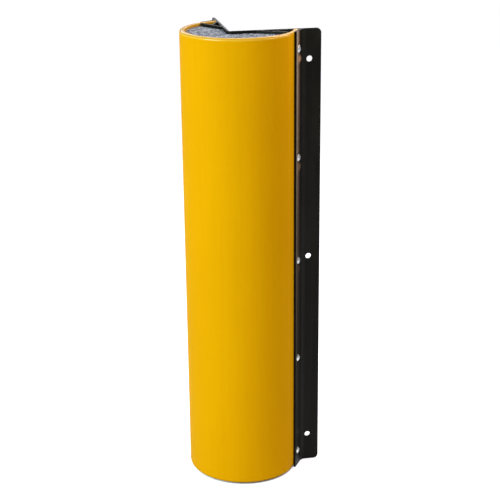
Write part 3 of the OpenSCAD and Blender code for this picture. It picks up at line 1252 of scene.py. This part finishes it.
@dataclass
class FoamBlock:
    """The bonded foam that fills the shell, with the torn texture of its sawn ends."""

    nodes: dict
    finishes: Finishes
    pitch: float = 1.5 * MM
    edge_step: float = 1.3
    row_step: float = 0.87
    wobble: float = 0.3
    clear: float = 0.45
    side_strokes: int = 24
    relief: float = 0.7 * MM
    chip_scale: float = 170
    chip_share: float = 0.55
    pore_scale: float = 420
    pore_share: float = 0.45
    sharp: float = math.radians(60)
    seed: int = 7
    name: str = "foam_block"

    def outline(self) -> tuple[list[Vector], float, float]:
        """Reads the outline of the CAD solid in plan.

        Returns:
            Its corners, anticlockwise, and its lowest and highest Z.
        """
        low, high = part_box("foam_core")
        work = bmesh.new()
        work.from_mesh(self.nodes["foam_core"].data)
        bmesh.ops.remove_doubles(work, verts=work.verts, dist=CAD_MERGE)
        top = [face for face in work.faces if all(abs(v.co.z - high.z) < 1e-5 for v in face.verts)]
        inside = set(top)
        after: dict = {}
        for face in top:
            for loop in face.loops:
                if len(inside.intersection(loop.edge.link_faces)) == 1:
                    after[loop.vert] = loop.link_loop_next.vert
        start = next(iter(after))
        corners, vert = [start.co.to_2d()], after[start]
        while vert is not start:
            corners.append(vert.co.to_2d())
            vert = after[vert]
        work.free()
        return corners, low.z, high.z

    def grid(self, edge: list[Vector]) -> list[Vector]:
        """Spreads points over the block in staggered rows, each a little off its place.

        Args:
            edge: The points on the outline.

        Returns:
            The points that lie clear inside it.
        """
        draw = random.Random(self.seed)
        wobble = self.pitch * self.wobble
        left, right = min(p.x for p in edge), max(p.x for p in edge)
        y, back = min(p.y for p in edge), max(p.y for p in edge)
        points = []
        row = 0
        while y < back:
            x = left + (row % 2) * self.pitch / 2
            while x < right:
                points.append(Vector((x + draw.uniform(-wobble, wobble), y + draw.uniform(-wobble, wobble))))
                x += self.pitch
            y += self.pitch * self.row_step
            row += 1
        return [p for p in points if well_inside(p, edge, self.pitch * self.clear)]

    def build(self) -> None:
        """Makes the block and hands it to the frame."""
        corners, low, high = self.outline()
        edge = []
        for a, b in zip(corners, corners[1:] + corners[:1]):
            steps = max(1, round((b - a).length / (self.pitch * self.edge_step)))
            edge += [a.lerp(b, i / steps) for i in range(steps)]
        count = len(edge)
        ring = [(i, (i + 1) % count) for i in range(count)]
        flat, _, faces, *_ = delaunay_2d_cdt(edge + self.grid(edge), ring, [list(range(count))], 1, 1e-7)
        work = bmesh.new()
        caps = []
        for z, sign in ((low, -1), (high, 1)):
            verts = []
            for i, p in enumerate(flat):
                torn = 0.0 if i < count else self.torn(Vector((p.x, p.y, z)))
                verts.append(work.verts.new((p.x, p.y, z - sign * torn)))
            for face in faces:
                work.faces.new([verts[i] for i in face[::sign]])
            caps.append(verts[:count])
        rows = [caps[0]]
        for i in range(1, self.side_strokes):
            z = low + (high - low) * i / self.side_strokes
            rows.append([work.verts.new((p.x, p.y, z)) for p in edge])
        rows.append(caps[1])
        for lower, upper in zip(rows, rows[1:]):
            for i, j in ring:
                work.faces.new((lower[i], lower[j], upper[j], upper[i]))
        bmesh.ops.recalc_face_normals(work, faces=work.faces)
        piece = linked(self.name, meshed(work, self.name))
        piece.data.shade_smooth()
        piece.data.set_sharp_from_angle(angle=self.sharp)
        deliver(piece, self.finishes.foam, ["foam_core"])

    def torn(self, place: Vector) -> float:
        """Works out how deep a sawn face is torn.

        Args:
            place: A place on the face.

        Returns:
            The depth there.
        """
        chips = noise.voronoi(place * self.chip_scale)[0][0]
        pores = noise.noise(place * self.pore_scale)
        return self.relief * (self.chip_share * min(chips, 1.0) + self.pore_share * max(pores, 0.0))


def well_inside(point: Vector, outline: list[Vector], margin: float) -> bool:
    """Tests whether a point lies inside an outline and clear of its corners.

    Args:
        point: The point.
        outline: The outline's corners in order.
        margin: How far from each corner it has to lie.

    Returns:
        Whether it does.
    """
    inside = False
    for a, b in zip(outline, outline[1:] + outline[:1]):
        if (a.y > point.y) != (b.y > point.y) and point.x < (b.x - a.x) * (point.y - a.y) / (b.y - a.y) + a.x:
            inside = not inside
        if (a - point).length_squared < margin * margin:
            return False
    return inside


@dataclass(frozen=True)
class Lamp:
    """A soft rectangular light: its place, what it points at, its width and height, its watts and its colour."""

    name: str
    place: tuple
    target: tuple
    size: tuple
    power: float
    colour: tuple

    def hang(self) -> None:
        """Hangs the light."""
        lamp = bpy.data.lights.new(self.name, "AREA")
        lamp.shape = "RECTANGLE"
        lamp.size, lamp.size_y = self.size
        lamp.energy = self.power
        lamp.color = self.colour
        aim = Vector(self.target) - Vector(self.place)
        turn = aim.to_track_quat("-Z", "Y").to_matrix().to_4x4()
        linked(self.name, lamp).matrix_world = Matrix.Translation(self.place) @ turn


@dataclass
class Studio:
    """A pale floor, soft light and the camera."""

    floor_half: float = 30.0
    room: tuple = (1.0, 0.94, 0.9, 1.0)
    room_light: float = 0.3
    lamps: tuple = (
        Lamp("key_left", (-2.55, -1.25, 1.6), (0.0, 0.0, 0.5), (1.6, 2.2), 125.0, (0.807, 1.0, 1.0)),
        Lamp("fill_right", (0.95, 0.36, 1.85), (0.12, -0.05, 0.8), (0.5, 0.6), 12.8, (1.0, 0.82, 0.7)),
        Lamp("front_right", (0.95, -0.55, 1.65), (0.1, -0.05, 0.9), (0.4, 0.4), 6.2, (1.0, 0.84, 0.72)),
        Lamp("back_high", (0.5, 2.6, 2.0), (0.0, 0.0, 1.0), (2.2, 0.9), 24.0, (0.96, 0.98, 1.0)),
    )
    camera_place: tuple = (-0.4422, -2.5723, 1.43666)
    azimuth: float = math.radians(-10.592)
    pitch: float = math.radians(19.22)
    roll: float = math.radians(-0.577)
    lens: float = 91.11
    sensor: float = 36.0
    sight: float = 100.0

    def floor(self) -> None:
        """Lays the floor."""
        h = self.floor_half
        mesh = bpy.data.meshes.new("studio_floor")
        mesh.from_pydata([(-h, -h, 0), (h, -h, 0), (h, h, 0), (-h, h, 0)], [], [(0, 1, 2, 3)])
        mesh.materials.append(Paper().material())
        linked("studio_floor", mesh)

    def world(self) -> None:
        """Surrounds the guard with plain pale light."""
        world = bpy.data.worlds.new("pale_room")
        bpy.context.scene.world = world
        world.use_nodes = True
        g = Graph(world.node_tree)
        back = g.add("ShaderNodeBackground", None, {"Color": self.room, "Strength": self.room_light})
        g.add("ShaderNodeOutputWorld", None, {0: back.outputs[0]})

    def camera(self) -> None:
        """Sets the camera where the photograph was taken from."""
        a, p, r = self.azimuth, self.pitch, self.roll
        forward = Vector((-math.sin(a) * math.cos(p), math.cos(a) * math.cos(p), -math.sin(p)))
        right = Vector((math.cos(a), math.sin(a), 0.0))
        up = right.cross(forward)
        tilted_right = right * math.cos(r) + up * math.sin(r)
        tilted_up = up * math.cos(r) - right * math.sin(r)
        turn = Matrix((tilted_right, tilted_up, -forward)).transposed().to_4x4()
        lens = bpy.data.cameras.new("front_camera")
        lens.lens = self.lens
        lens.sensor_width = self.sensor
        lens.sensor_fit = "HORIZONTAL"
        lens.clip_end = self.sight
        body = linked("front_camera", lens)
        body.matrix_world = Matrix.Translation(self.camera_place) @ turn
        bpy.context.scene.camera = body

    def build(self) -> None:
        """Sets up the studio."""
        self.floor()
        self.world()
        self.camera()
        for lamp in self.lamps:
            lamp.hang()
        scene = bpy.context.scene
        scene.view_settings.view_transform = "Standard"
        scene.view_settings.look = "None"
        scene.cycles.use_denoising = True


def main() -> None:
    """Builds the studio and every piece of the guard."""
    logging.basicConfig(level=logging.INFO, format="%(name)s %(message)s", stream=sys.stdout)
    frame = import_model()
    Studio().build()
    finishes = Finishes()
    Shell(finishes).build()
    Steelwork(frame["nodes"], finishes).build()
    Welds(finishes).build()
    Rivets(finishes).build()
    FoamBlock(frame["nodes"], finishes).build()


if __name__ == "__main__":
    main()
